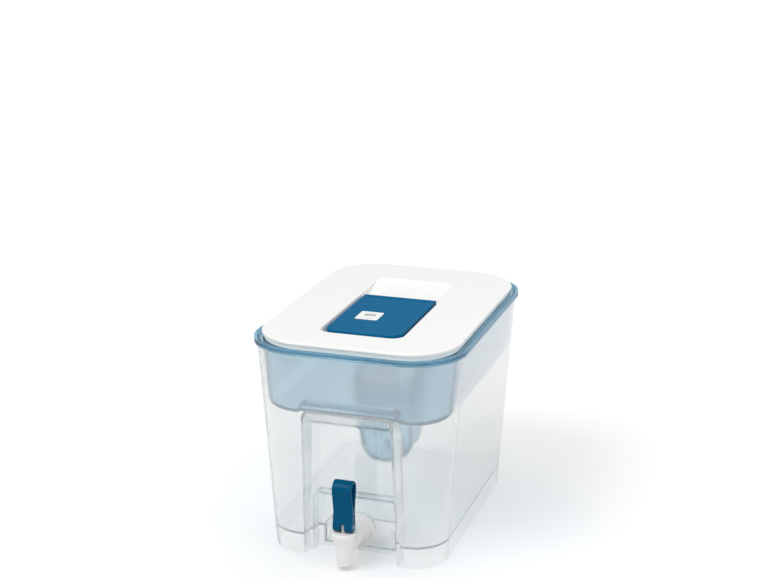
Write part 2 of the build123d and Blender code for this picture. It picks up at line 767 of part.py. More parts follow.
with BuildPart() as memo_bezel:
    with BuildSketch(Plane.XY.offset(bezel_underside)):
        with Locations(memo_place):
            RectangleRounded(
                bezel_width + 2 * bezel_rim, bezel_length + 2 * bezel_rim, bezel_corner + bezel_rim
            )
    extrude(amount=bezel_flange)
    with BuildSketch(Plane.XY.offset(bezel_underside)):
        with Locations(memo_place):
            RectangleRounded(bezel_width, bezel_length, bezel_corner)
    extrude(amount=bezel_top - bezel_underside)
    with BuildSketch(Plane.XY.offset(bezel_underside)):
        with Locations(window_place):
            RectangleRounded(window_width, window_length, button_lip)
        with Locations(button_place):
            RectangleRounded(
                button_width + 2 * button_gap,
                button_length + 2 * button_gap,
                button_lip + button_gap,
            )
    extrude(amount=bezel_top - bezel_underside, mode=Mode.SUBTRACT)
write(memo_bezel, "memo_bezel")

with BuildPart() as memo_display:
    with BuildSketch(Plane.XY.offset(board_top)):
        with Locations(window_place):
            Rectangle(window_width + 2 * display_margin, window_length + 2 * display_margin)
    extrude(amount=display_thickness)
write(memo_display, "memo_display")

with BuildPart() as memo_button:
    with BuildSketch(Plane.XY.offset(bezel_underside - button_gap - button_lip_thickness)):
        with Locations(button_place):
            RectangleRounded(
                button_width + 2 * button_lip, button_length + 2 * button_lip, button_lip
            )
    extrude(amount=button_lip_thickness)
    with BuildSketch(Plane.XY.offset(bezel_underside - button_gap)):
        with Locations(button_place):
            RectangleRounded(button_width, button_length, button_lip)
    extrude(amount=bezel_top + button_proud - bezel_underside + button_gap)
    fillet(memo_button.faces().sort_by(Axis.Z)[-1].edges(), radius=button_gap)
write(memo_button, "memo_button")

with BuildPart() as memo_board:
    with BuildSketch(Plane.XY.offset(cell_top)):
        with Locations(memo_place):
            Rectangle(board_width, board_length)
    extrude(amount=board_thickness)
write(memo_board, "memo_board")

with BuildPart() as memo_battery:
    with BuildSketch(Plane.XY.offset(cell_top - cell_thickness)):
        with Locations(memo_place):
            Circle(cell_radius)
    extrude(amount=cell_thickness)
    fillet(memo_battery.faces().sort_by(Axis.Z)[0].edges(), radius=door_gap)
write(memo_battery, "memo_battery")

with BuildPart() as memo_back_door:
    inner_gap = 2 * (keel_wall + door_gap)
    with BuildSketch(Plane.XY.offset(keel_foot)):
        with Locations(memo_place):
            RectangleRounded(
                keel_width - inner_gap, keel_length - inner_gap, keel_corner - keel_wall - door_gap
            )
    extrude(amount=door_thickness)
    with BuildSketch(Plane.XY.offset(keel_foot + door_thickness)):
        with Locations(memo_place):
            Circle(cell_radius)
            Circle(cell_radius - door_ring_wall, mode=Mode.SUBTRACT)
    extrude(amount=cell_top - cell_thickness - keel_foot - door_thickness)
write(memo_back_door, "memo_back_door")

# ---------------------------------------------------------------- tap

barrel_section = Plane(origin=(0, -barrel_front, 0), x_dir=(1, 0, 0), z_dir=(0, -1, 0))
barrel_axis = Axis((0, -barrel_front, 0), (0, 0, 1))
shank_inside = tap_wall - tank_wall - washer_thickness - nut_thickness - shank_end
tap_face = tap_wall + washer_thickness  # where the flange starts
washer_faces = (tap_wall, tap_wall - tank_wall - washer_thickness)
nut_face = tap_wall - tank_wall - washer_thickness - nut_thickness


def disc_across(radius, front, length):
    """Round disc or bar along Y on the shank's axis, from a distance in front of the centre."""
    with BuildPart() as disc:
        with BuildSketch(Plane.XZ.offset(front)):
            with Locations((0, tap_height)):
                Circle(radius)
        extrude(amount=length)
    return disc.part


with BuildPart() as tap_body:
    # Shank, flange, collar and neck
    add(disc_across(shank_radius, shank_inside, tap_face - shank_inside))
    add(disc_across(tap_flange_radius, tap_face, tap_flange_thickness))
    fillet(tap_body.edges().filter_by(GeomType.CIRCLE).sort_by(Axis.Y)[0], radius=flange_round)
    add(disc_across(collar_radius, tap_face + tap_flange_thickness, collar_length))
    add(disc_across(neck_radius, tap_face, barrel_front - tap_face))
    # Spout and barrel
    with BuildSketch(barrel_section):
        Polygon(
            (0, spout_foot),
            (spout_foot_radius, spout_foot),
            (spout_top_radius, spout_top),
            (0, spout_top),
            align=None,
        )
    revolve(axis=barrel_axis)
    with BuildSketch(barrel_section):
        Polygon(
            (0, spout_foot),
            (spout_bore_radius, spout_foot),
            (spout_bore_radius, seat_height),
            (chamber_radius, seat_height),
            (chamber_radius, spout_top),
            (0, spout_top),
            align=None,
        )
    revolve(axis=barrel_axis, mode=Mode.SUBTRACT)
    add(disc_across(inlet_radius, shank_inside, barrel_front - shank_inside), mode=Mode.SUBTRACT)
    # Seat for the bonnet, cut into the top of the neck
    with BuildSketch(Plane.XY.offset(spout_top)):
        with Locations((0, -barrel_front)):
            Circle(bonnet_radius + seat_gap)
    extrude(amount=bonnet_top - spout_top, mode=Mode.SUBTRACT)
write(tap_body, "tap_body")

with BuildPart() as tap_bonnet:
    with BuildSketch(barrel_section):
        Polygon(
            (bonnet_foot_radius - bonnet_wall, spout_top),
            (bonnet_foot_radius, spout_top),
            (bonnet_radius, bonnet_top - 2 * bonnet_wall),
            (bonnet_radius, bonnet_top),
            (stem_radius + stem_hole_gap, bonnet_top),
            (stem_radius + stem_hole_gap, bonnet_top - bonnet_wall),
            (bonnet_radius - bonnet_wall, bonnet_top - bonnet_wall),
            (bonnet_radius - bonnet_wall, bonnet_top - 2 * bonnet_wall),
            align=None,
        )
    revolve(axis=barrel_axis)
    top_edges = tap_bonnet.edges().filter_by(GeomType.CIRCLE).group_by(Axis.Z)[-1]
    fillet(top_edges.sort_by(SortBy.RADIUS)[-1], radius=bonnet_round)
write(tap_bonnet, "tap_bonnet")

for name, face in zip(("tap_outer_washer", "tap_inner_washer"), washer_faces):
    with BuildPart() as washer:
        add(disc_across(washer_radius, face, washer_thickness))
        add(disc_across(shank_radius + pin_gap, face, washer_thickness), mode=Mode.SUBTRACT)
    write(washer, name)

with BuildPart() as tap_nut:
    with BuildSketch(Plane.XZ.offset(nut_face)):
        with Locations((0, tap_height)):
            RegularPolygon(nut_across_flats / 2, 6, major_radius=False)
            Circle(shank_radius + pin_gap, mode=Mode.SUBTRACT)
    extrude(amount=nut_thickness)
write(tap_nut, "tap_nut")

cup_foot = seat_height + seat_gap
cup_inside = cup_foot + seat_cup_floor

with BuildPart() as tap_seat_cup:
    with BuildSketch(barrel_section):
        Polygon(
            (0, cup_foot),
            (seat_cup_radius, cup_foot),
            (seat_cup_radius, cup_foot + seat_cup_height),
            (seat_cup_radius - seat_cup_wall, cup_foot + seat_cup_height),
            (seat_cup_radius - seat_cup_wall, cup_inside),
            (0, cup_inside),
            align=None,
        )
    revolve(axis=barrel_axis)
write(tap_seat_cup, "tap_seat_cup")

tab_foot = bonnet_top - stem_rise - seat_gap

with BuildPart() as tap_stem:
    with BuildSketch(barrel_section):
        Polygon(
            (0, cup_inside),
            (stem_disc_radius, cup_inside),
            (stem_disc_radius, cup_inside + stem_disc_thickness),
            (stem_radius, cup_inside + stem_disc_thickness),
            (stem_radius, tab_foot),
            (0, tab_foot),
            align=None,
        )
    revolve(axis=barrel_axis)
    with BuildSketch(Plane.YZ.offset(-stem_tab_thickness / 2)):
        with Locations((-barrel_front, (tab_foot + pin_height) / 2)):
            Rectangle(2 * stem_tab_half, pin_height - tab_foot)
        with Locations((-barrel_front, pin_height)):
            Circle(stem_tab_half)
            Circle(pin_radius, mode=Mode.SUBTRACT)
    extrude(amount=stem_tab_thickness)
write(tap_stem, "tap_stem")

with BuildPart() as lever_pin:
    with BuildSketch(Plane.YZ.offset(-lever_width / 2)):
        with Locations((-barrel_front, pin_height)):
            Circle(pin_radius)
    extrude(amount=lever_width)
write(lever_pin, "lever_pin")

cam_centre = (-barrel_front - cam_forward, pin_height + cam_up)
waist_centre = (-barrel_front, waist_height)
grip_centre = (-barrel_front, lever_top - grip_radius)
eye_tip = (-barrel_front, eye_tip_height)


def belt(low, low_radius, high, high_radius, mode=Mode.ADD):
    """Outline stretched round two circles, in the open sketch."""
    with BuildSketch(mode=Mode.PRIVATE) as shape:
        with BuildLine():
            CenterArc(low, low_radius, 0, 360)
            CenterArc(high, high_radius, 0, 360)
        make_hull()
    add(shape.sketch, mode=mode)


with BuildPart() as tap_lever:
    with BuildSketch(Plane.YZ.offset(-lever_width / 2)):
        belt(cam_centre, cam_radius, waist_centre, waist_radius)
        belt(waist_centre, waist_radius, grip_centre, grip_radius)
    extrude(amount=lever_width)
    ends = tap_lever.faces().sort_by(Axis.X)
    fillet(ends[0].edges() + ends[-1].edges(), radius=lever_round)
    with BuildSketch(Plane.YZ.offset(-lever_width / 2)):
        belt(eye_tip, eye_tip_radius, grip_centre, grip_radius - grip_wall)
        with Locations((-barrel_front, pin_height)):
            Circle(pin_radius + pin_gap)
    extrude(amount=lever_width, mode=Mode.SUBTRACT)
    with BuildSketch(Plane.XZ):
        with Locations((0, pin_height + fork_rise)):
            Rectangle(fork_width, lever_top / 2, align=(Align.CENTER, Align.MAX))
    extrude(amount=2 * barrel_front, mode=Mode.SUBTRACT)
write(tap_lever, "tap_lever")
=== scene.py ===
"""Gravity water filter with tap: surfaces, finishes, fine detail, studio and camera.

Metres, +Z up, +X to the right and -Y towards the person who draws water.
"""

import json
import logging
import math
from abc import ABC, abstractmethod
from dataclasses import dataclass
from enum import Enum
from typing import Any, Optional, Union

import bpy
import numpy as np
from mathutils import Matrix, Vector

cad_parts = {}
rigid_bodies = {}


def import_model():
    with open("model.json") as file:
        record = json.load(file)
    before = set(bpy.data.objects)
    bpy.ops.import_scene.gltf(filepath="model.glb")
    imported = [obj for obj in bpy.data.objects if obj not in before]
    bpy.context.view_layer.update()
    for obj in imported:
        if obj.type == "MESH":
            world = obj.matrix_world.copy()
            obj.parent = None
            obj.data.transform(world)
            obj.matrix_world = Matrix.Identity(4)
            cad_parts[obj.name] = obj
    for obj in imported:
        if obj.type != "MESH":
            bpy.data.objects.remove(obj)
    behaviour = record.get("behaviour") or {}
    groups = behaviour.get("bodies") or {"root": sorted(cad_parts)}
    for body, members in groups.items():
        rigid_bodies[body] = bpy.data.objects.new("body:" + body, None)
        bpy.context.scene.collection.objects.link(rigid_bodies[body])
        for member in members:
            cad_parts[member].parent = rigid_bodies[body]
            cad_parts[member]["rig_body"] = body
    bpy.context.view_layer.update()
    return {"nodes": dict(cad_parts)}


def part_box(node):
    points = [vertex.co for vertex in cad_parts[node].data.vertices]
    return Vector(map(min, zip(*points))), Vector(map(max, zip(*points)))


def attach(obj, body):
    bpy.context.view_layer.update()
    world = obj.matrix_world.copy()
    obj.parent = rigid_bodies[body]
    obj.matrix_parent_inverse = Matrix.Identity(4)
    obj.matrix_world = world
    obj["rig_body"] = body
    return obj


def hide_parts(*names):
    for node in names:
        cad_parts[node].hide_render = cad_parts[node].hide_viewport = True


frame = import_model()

log = logging.getLogger("water_filter")

Colour = tuple[float, float, float]
Place = tuple[float, float, float]
Socket = bpy.types.NodeSocket

MILLIMETRE = 0.001
WELD = 0.002 * MILLIMETRE  # points nearer than this are one point
FLAT = math.radians(0.3)  # faces that turn less than this are one face
CREASE = math.radians(32)  # edges sharper than this count as edges
SHORT = 0.05 * MILLIMETRE  # edges shorter than this say little of a bend
WIDE_RADIUS = 300.0 * MILLIMETRE  # a bend of this radius or more is flat
TIGHT_RADIUS = 2.0 * MILLIMETRE  # a bend of this radius or less counts in full
FOLD = 0.5  # bends from this up are folds
DOWNWARD = -0.3  # upright part of the normal of a face that looks down
SAME_PLACE = 4 * WELD  # corners in one cell of this size are at one place
SAME_NORMAL = 1 / 40  # and their normals agree within about this much
NO_REACH = 0.001  # least divisor, for walls without a bend
CLOUD_SCALE, POLISH_SCALE, FROST_SCALE = 14.0, 60.0, 26.0  # patches to a metre
WAVE_STRETCH = (1.0, 1.0, 0.35)  # the waves run upwards
PAINTED_EDGE_FADE = (0.62, 1.05)  # the painted dark line fades out over this part of its reach
WHITE_LIGHT = (1.0, 1.0, 1.0)
GREY = (0.8, 0.8, 0.8)
BEND = "bend"  # attribute that says how tightly a wall is rounded
LIGHT_BOUNCES = 28  # clear walls stand one behind another


class Slot(Enum):
    """Material slots of the record, as the pieces name them."""

    CLEAR = "clear_plastic"
    TINTED = "tinted_plastic"
    WHITE = "white_plastic"
    DEEP_BLUE = "deep_blue_plastic"
    BLUE = "blue_plastic"
    STEM = "stem_plastic"
    SILICONE = "silicone"
    PIN = "pin_steel"
    SCREEN = "screen_plastic"
    MEDIA = "media_granules"
    DISPLAY = "display_glass"
    BOARD = "board_laminate"
    CELL = "cell_steel"


def plain(red: int, green: int, blue: int) -> Colour:
    """Turns a screen colour into a linear one.

    Args:
        red: Level of red, from 0 to 255.
        green: Level of green.
        blue: Level of blue.

    Returns:
        The linear colour.
    """
    return tuple(
        c / 12.92 if c <= 0.04045 else ((c + 0.055) / 1.055) ** 2.4
        for c in (red / 255, green / 255, blue / 255)
    )


# ---------------------------------------------------------------- node sheets


class NodeSheet:
    """Lays nodes out in one tree, with plain values and links given in the same way."""

    def __init__(self, tree: bpy.types.NodeTree) -> None:
        """Takes a tree to fill.

        Args:
            tree: Shader tree of a material, a world or a node group.
        """
        self.tree = tree
        self.column = 0

    def add(self, kind: str, values: Optional[dict] = None, **settings: Any) -> bpy.types.Node:
        """Adds one node.

        Args:
            kind: Node type, without the word ShaderNode in front.
            values: Value or source socket for each input, by name or number.
            settings: Attributes of the node itself.

        Returns:
            The node.
        """
        node = self.tree.nodes.new(kind if kind.startswith("NodeGroup") else "ShaderNode" + kind)
        self.column += 1
        node.location = (self.column * 180, 0)
        for name, value in settings.items():
            setattr(node, name, value)
        for name, value in (values or {}).items():
            self.put(node.inputs[name], value)
        return node

    def put(self, socket: Socket, value: Union[Socket, float, tuple]) -> None:
        """Links a source socket to an input, or writes a plain value in it.

        Args:
            socket: The input.
            value: The source socket, or the value.
        """
        if isinstance(value, bpy.types.NodeSocket):
            self.tree.links.new(value, socket)
        elif isinstance(value, tuple) and len(value) == 3 and socket.type == "RGBA":
            socket.default_value = (*value, 1.0)
        else:
            socket.default_value = value

    def math(self, operation: str, first: Any, second: Any = 0.0) -> Socket:
        """Result of a two-value sum, product or other operation."""
        return self.add("Math", {0: first, 1: second}, operation=operation).outputs[0]

    def ramp(self, value: Socket, reach: tuple, levels: tuple = (0.0, 1.0)) -> Socket:
        """Smooth change from one level to another as a value goes over its reach.

        Args:
            value: The value that drives the change.
            reach: The values at which it starts and ends.
            levels: The levels before and after it.

        Returns:
            The level.
        """
        values = {"Value": value, "From Min": reach[0], "From Max": reach[1]}
        values |= {"To Min": levels[0], "To Max": levels[1]}
        return self.add("MapRange", values, interpolation_type="SMOOTHSTEP").outputs[0]

    def blend(self, share: Socket, first: Any, second: Any) -> Socket:
        """Mixes two colours.

        Args:
            share: How much of the second goes in.
            first: The first colour, or its source socket.
            second: The second colour, or its source socket.

        Returns:
            The mix.
        """
        mix = self.add("Mix", data_type="RGBA")
        for number, value in ((0, share), (6, first), (7, second)):
            self.put(mix.inputs[number], value)
        return mix.outputs[2]

    def noise(self, scale: Any, detail: float = 2.0, stretch: Optional[tuple] = None) -> Socket:
        """Soft noise over the object.

        Args:
            scale: Cycles to a metre.
            detail: Number of finer layers.
            stretch: Scale along X, Y and Z, for noise that runs one way.

        Returns:
            The noise's value, from 0 to 1.
        """
        place = self.add("TexCoord").outputs["Object"]
        if stretch:
            place = self.add("Mapping", {"Vector": place, "Scale": stretch}).outputs[0]
        return self.add(
            "TexNoise", {"Vector": place, "Scale": scale, "Detail": detail}
        ).outputs["Fac"]


def shader_group(name: str, inputs: dict[str, Any], outputs: dict[str, str]) -> tuple:
    """Starts a shader node group with named inputs and outputs.

    Args:
        name: The group's name.
        inputs: Default of each input: a number, or a colour of three numbers.
        outputs: Kind of each output, as in NodeSocketFloat.

    Returns:
        The group, its sheet, the node that holds its inputs and the one that holds its outputs.
    """
    group = bpy.data.node_groups.new(name, "ShaderNodeTree")
    for label, default in inputs.items():
        kind = "NodeSocketColor" if isinstance(default, tuple) else "NodeSocketFloat"
        made = group.interface.new_socket(label, in_out="INPUT", socket_type=kind)
        made.default_value = (*default, 1.0) if isinstance(default, tuple) else default
    for label, kind in outputs.items():
        group.interface.new_socket(label, in_out="OUTPUT", socket_type=kind)
    sheet = NodeSheet(group)
    return group, sheet, sheet.add("NodeGroupInput"), sheet.add("NodeGroupOutput")


def moulded_skin_group() -> bpy.types.NodeTree:
    """Skin of a moulded plastic piece: faint clouding, a fine grain and uneven polish.

    Returns:
        The group, with outputs Colour, Roughness and Height.
    """
    group, sheet, given, out = shader_group(
        "moulded_skin",
        {"Colour": GREY, "Clouding": 0.03, "Polish": 0.35, "Unevenness": 0.06, "Grain": 900.0},
        {"Colour": "NodeSocketColor", "Roughness": "NodeSocketFloat", "Height": "NodeSocketFloat"},
    )
    cloud = sheet.math("SUBTRACT", sheet.noise(CLOUD_SCALE), 0.5)
    shade = sheet.math("ADD", 1.0, sheet.math("MULTIPLY", cloud, given.outputs["Clouding"]))
    tinted = sheet.add("VectorMath", {0: given.outputs["Colour"]}, operation="SCALE")
    sheet.put(tinted.inputs["Scale"], shade)
    sheet.put(out.inputs["Colour"], tinted.outputs[0])
    patch = sheet.math("SUBTRACT", sheet.noise(POLISH_SCALE), 0.5)
    uneven = sheet.math("MULTIPLY", patch, given.outputs["Unevenness"])
    sheet.put(out.inputs["Roughness"], sheet.math("ADD", given.outputs["Polish"], uneven))
    sheet.put(out.inputs["Height"], sheet.noise(given.outputs["Grain"], detail=1.0))
    return group


def flow_marks_group() -> bpy.types.NodeTree:
    """Slow waves and uneven frosting that the mould leaves in a see-through wall.

    Returns:
        The group, with outputs Roughness and Height.
    """
    group, sheet, given, out = shader_group(
        "flow_marks",
        {"Polish": 0.02, "Haze": 0.02, "Wave": 9.0},
        {"Roughness": "NodeSocketFloat", "Height": "NodeSocketFloat"},
    )
    along = sheet.noise(given.outputs["Wave"], detail=1.0, stretch=WAVE_STRETCH)
    sheet.put(out.inputs["Height"], along)
    patch = sheet.math("MULTIPLY", sheet.noise(FROST_SCALE), given.outputs["Haze"])
    sheet.put(out.inputs["Roughness"], sheet.math("ADD", given.outputs["Polish"], patch))
    return group


def painted_edge_shade_group() -> bpy.types.NodeTree:
    """Where a see-through wall gets painted shade: along its folds and its turned corners.

    The line that it draws is about as wide on a tight fold as on a wide corner.

    Returns:
        The group, with one output from 0 to 1: the share of painted shade.
    """
    group, sheet, given, out = shader_group(
        "painted_edge_shade", {"Bend": 0.0, "Slant": 0.0, "Width": 2.0}, {"Depth": "NodeSocketFloat"}
    )
    spread = sheet.math("MULTIPLY", given.outputs["Bend"], given.outputs["Width"])
    reach = sheet.math("SQRT", spread)
    upright = sheet.math("SUBTRACT", 1.0, given.outputs["Slant"])
    turned = sheet.math("DIVIDE", upright, sheet.math("MAXIMUM", reach, NO_REACH))
    sheet.put(out.inputs["Depth"], sheet.ramp(turned, PAINTED_EDGE_FADE, (1.0, 0.0)))
    return group


# ---------------------------------------------------------------- finishes


class Workshop:
    """Makes each material once and each shader group once."""

    def __init__(self) -> None:
        """Starts with the groups that the finishes share, and makes every finish."""
        self.skin = moulded_skin_group()
        self.flow = flow_marks_group()
        # group that paints shade along the folds and turned corners of see-through walls
        self.edge = painted_edge_shade_group()
        self.materials = {slot: finish.material(self) for slot, finish in FINISHES.items()}
        self.cartridge_white = CARTRIDGE_WHITE.material(self)
        self.segments = SEGMENTS.material(self)

    def start(self, name: str) -> tuple[bpy.types.Material, NodeSheet]:
        """Starts a material.

        Args:
            name: The material's name.

        Returns:
            The empty material and its sheet.
        """
        material = bpy.data.materials.new(name)
        material.use_nodes = True
        material.node_tree.nodes.clear()
        return material, NodeSheet(material.node_tree)

    def group(self, sheet: NodeSheet, tree: bpy.types.NodeTree, values: dict) -> bpy.types.Node:
        """Places a shader group.

        Args:
            sheet: Sheet of the material that uses it.
            tree: The group.
            values: Value or source socket for each of its inputs.

        Returns:
            The node that stands for the group.
        """
        node = sheet.add("Group", node_tree=tree)
        for name, value in values.items():
            sheet.put(node.inputs[name], value)
        return node

    def relief(self, sheet: NodeSheet, height: Socket, depth: float) -> Socket:
        """Normal of a surface with this height pattern, of that depth in metres."""
        return sheet.add("Bump", {"Strength": 1.0, "Distance": depth, "Height": height}).outputs[0]


@dataclass(frozen=True)
class MouldedPlastic:
    """Opaque moulded plastic."""

    name: str
    colour: Colour
    polish: float  # roughness of the skin
    grain: float = 900.0  # cycles to a metre
    grain_depth: float = 0.004 * MILLIMETRE
    clouding: float = 0.03  # how much its colour changes from patch to patch
    index: float = 1.5  # of refraction, which sets how strongly its skin mirrors

    def material(self, shop: Workshop) -> bpy.types.Material:
        """Builds the material.

        Args:
            shop: Holder of the shared groups.

        Returns:
            The material.
        """
        material, sheet = shop.start(self.name)
        skin = shop.group(
            sheet,
            shop.skin,
            {
                "Colour": self.colour,
                "Clouding": self.clouding,
                "Polish": self.polish,
                "Grain": self.grain,
            },
        )
        shader = sheet.add(
            "BsdfPrincipled",
            {
                "Base Color": skin.outputs["Colour"],
                "Roughness": skin.outputs["Roughness"],
                "IOR": self.index,
                "Normal": shop.relief(sheet, skin.outputs["Height"], self.grain_depth),
            },
        )
        sheet.add("OutputMaterial", {"Surface": shader.outputs[0]})
        return material


@dataclass(frozen=True)
class SeeThroughPlastic:
    """Clear or tinted moulded plastic that darkens with the way through it, with painted shade
    along its folds and corners.
    """

    name: str
    body: Colour  # of what one face lets through
    painted_rim_shade: Colour  # painted shade along folds and turned corners; on a tinted wall partly the deeper tint of the longer way through it
    clarity: float  # share of the light that goes through a face without being scattered
    tint: Colour  # of the light that a thick piece lets through
    density: float  # absorption to a metre, of a colour that the tint lacks
    lamp_tint: Colour  # of lamp light past one face
    polish: float  # roughness of the skin
    haze: float  # how much rougher it is in patches
    shade_line_width: float  # of the painted dark line along a fold, in millimetres
    gloss: float = 0.3  # weight of a thin polished coat
    index: float = 1.45  # of refraction
    coat_polish: float = 0.03
    wave_depth: float = 0.004 * MILLIMETRE

    def material(self, shop: Workshop) -> bpy.types.Material:
        """Builds the material.

        Args:
            shop: Holder of the shared groups.

        Returns:
            The material, which lets lamps and soft light straight through.
        """
        material, sheet = shop.start(self.name)
        flow = shop.group(sheet, shop.flow, {"Polish": self.polish, "Haze": self.haze})
        bend = sheet.add("Attribute", attribute_name=BEND, attribute_type="GEOMETRY")
        slant = sheet.add("LayerWeight", {"Blend": 0.5}).outputs["Facing"]
        edge = shop.group(
            sheet,
            shop.edge,
            {"Bend": bend.outputs["Fac"], "Slant": slant, "Width": self.shade_line_width},
        )
        front = sheet.math("SUBTRACT", 1.0, sheet.add("NewGeometry").outputs["Backfacing"])
        # painted shade: the front faces' colour turns towards the rim colour along folds and turned
        # corners
        depth = sheet.math("MULTIPLY", edge.outputs["Depth"], front)
        shader = sheet.add(
            "BsdfPrincipled",
            {
                "Base Color": sheet.blend(depth, self.body, self.painted_rim_shade),
                "Roughness": flow.outputs["Roughness"],
                "IOR": self.index,
                "Transmission Weight": self.clarity,
                "Coat Weight": self.gloss,
                "Coat Roughness": self.coat_polish,
                "Normal": shop.relief(sheet, flow.outputs["Height"], self.wave_depth),
            },
        )
        straight = sheet.add("BsdfTransparent", {"Color": self.lamp_tint})
        path = sheet.add("LightPath")
        past = sheet.math("MAXIMUM", path.outputs["Is Shadow Ray"], path.outputs["Is Diffuse Ray"])
        mix = sheet.add("MixShader", {0: past, 1: shader.outputs[0], 2: straight.outputs[0]})
        inside = sheet.add("VolumeAbsorption", {"Color": self.tint, "Density": self.density})
        sheet.add("OutputMaterial", {"Surface": mix.outputs[0], "Volume": inside.outputs[0]})
        return material


@dataclass(frozen=True)
class Metal:
    """Turned or stamped steel."""

    name: str
    colour: Colour
    polish: float = 0.25
    grain: float = 2500.0
    grain_depth: float = 0.002 * MILLIMETRE

    def material(self, shop: Workshop) -> bpy.types.Material:
        """Builds the material.

        Args:
            shop: Holder of the shared groups.

        Returns:
            The material.
        """
        material, sheet = shop.start(self.name)
        skin = shop.group(
            sheet, shop.skin, {"Colour": self.colour, "Polish": self.polish, "Grain": self.grain}
        )
        shader = sheet.add(
            "BsdfPrincipled",
            {
                "Base Color": skin.outputs["Colour"],
                "Roughness": skin.outputs["Roughness"],
                "Metallic": 1.0,
                "Normal": shop.relief(sheet, skin.outputs["Height"], self.grain_depth),
            },
        )
        sheet.add("OutputMaterial", {"Surface": shader.outputs[0]})
        return material


FINISHES = {
    Slot.CLEAR: SeeThroughPlastic(
        "clear_wall",
        body=(0.976, 0.974, 0.972),
        # painted shade: grey along the clear wall's folds and turned corners
        painted_rim_shade=(0.42, 0.46, 0.46),
        clarity=0.88,
        tint=(0.2, 0.3, 0.3),
        density=11.0,
        lamp_tint=(0.985, 0.988, 0.988),
        polish=0.075,
        haze=0.05,
        shade_line_width=2.5,
    ),
    Slot.TINTED: SeeThroughPlastic(
        "tinted_wall",
        body=(0.945, 0.968, 0.982),
        # painted shade and deeper tint: dark teal along the hopper's folds and turned corners
        painted_rim_shade=(0.0, 0.085, 0.13),
        clarity=0.97,
        tint=(0.09, 0.61, 0.80),
        density=150.0,
        lamp_tint=(0.985, 0.993, 0.997),
        polish=0.2,
        haze=0.06,
        gloss=0.0,
        index=1.25,
        shade_line_width=5.0,
    ),
    Slot.WHITE: MouldedPlastic("white_plastic", plain(231, 230, 228), polish=0.33),
    Slot.DEEP_BLUE: MouldedPlastic("deep_blue_plastic", plain(0, 76, 111), polish=0.2, index=1.14),
    Slot.BLUE: MouldedPlastic("blue_plastic", plain(0, 90, 132), polish=0.28, index=1.12),
    Slot.STEM: MouldedPlastic("stem_plastic", plain(214, 216, 214), polish=0.42),
    Slot.SILICONE: MouldedPlastic("silicone_rubber", plain(205, 208, 208), polish=0.55),
    Slot.PIN: Metal("pin_steel", plain(190, 192, 195)),
    Slot.SCREEN: MouldedPlastic("screen_plastic", plain(228, 230, 230), polish=0.5, grain=1600.0),
    Slot.MEDIA: MouldedPlastic(
        "media_granules", plain(48, 46, 44), polish=0.7, grain=1100.0, grain_depth=0.4 * MILLIMETRE
    ),
    Slot.DISPLAY: MouldedPlastic("display_glass", plain(70, 76, 78), polish=0.2, index=1.2),
    Slot.BOARD: MouldedPlastic("board_laminate", plain(28, 88, 58), polish=0.4),
    Slot.CELL: Metal("cell_steel", plain(200, 202, 204), polish=0.2),
}
CARTRIDGE_WHITE = MouldedPlastic("cartridge_white", plain(254, 250, 247), polish=0.33)
SEGMENTS = MouldedPlastic("display_segments", plain(34, 36, 38), polish=0.3, index=1.2)


# ---------------------------------------------------------------- modelling by hand


def only(piece: bpy.types.Object) -> None:
    """Leaves one object selected and active.

    Args:
        piece: The object.
    """
    bpy.ops.object.select_all(action="DESELECT")
    piece.select_set(True)
    bpy.context.view_layer.objects.active = piece


def soften_edges(surface: bpy.types.Object, width: float) -> None:
    """Breaks the sharp edges of a closed surface with a small round.

    Args:
        surface: The piece, of loose triangles.
        width: Width of the round.
    """
    only(surface)
    bpy.ops.mesh.customdata_custom_splitnormals_clear()
    bpy.ops.object.mode_set(mode="EDIT")
    bpy.ops.mesh.select_all(action="SELECT")
    bpy.ops.mesh.remove_doubles(threshold=WELD)
    bpy.ops.mesh.dissolve_limited(angle_limit=FLAT)
    bpy.ops.object.mode_set(mode="OBJECT")
    round_edge = surface.modifiers.new("soft_edge", "BEVEL")
    round_edge.width = width
    round_edge.segments = 2
    round_edge.limit_method = "ANGLE"
    round_edge.angle_limit = CREASE
    bpy.ops.object.modifier_apply(modifier=round_edge.name)
    bpy.ops.object.shade_smooth_by_angle(angle=CREASE)
    even = surface.modifiers.new("even_shading", "WEIGHTED_NORMAL")
    even.keep_sharp = True
    bpy.ops.object.modifier_apply(modifier=even.name)


def corners_of(mesh: bpy.types.Mesh) -> tuple[np.ndarray, np.ndarray]:
    """Reads the corners of a mesh.

    Args:
        mesh: The mesh.

    Returns:
        The place and the normal of each corner, one to a row.
    """
    places = np.empty(len(mesh.vertices) * 3)
    mesh.vertices.foreach_get("co", places)
    at = np.empty(len(mesh.loops), dtype=int)
    mesh.loops.foreach_get("vertex_index", at)
    normals = np.empty(len(mesh.loops) * 3)
    mesh.corner_normals.foreach_get("vector", normals)
    return places.reshape(-1, 3)[at], normals.reshape(-1, 3)


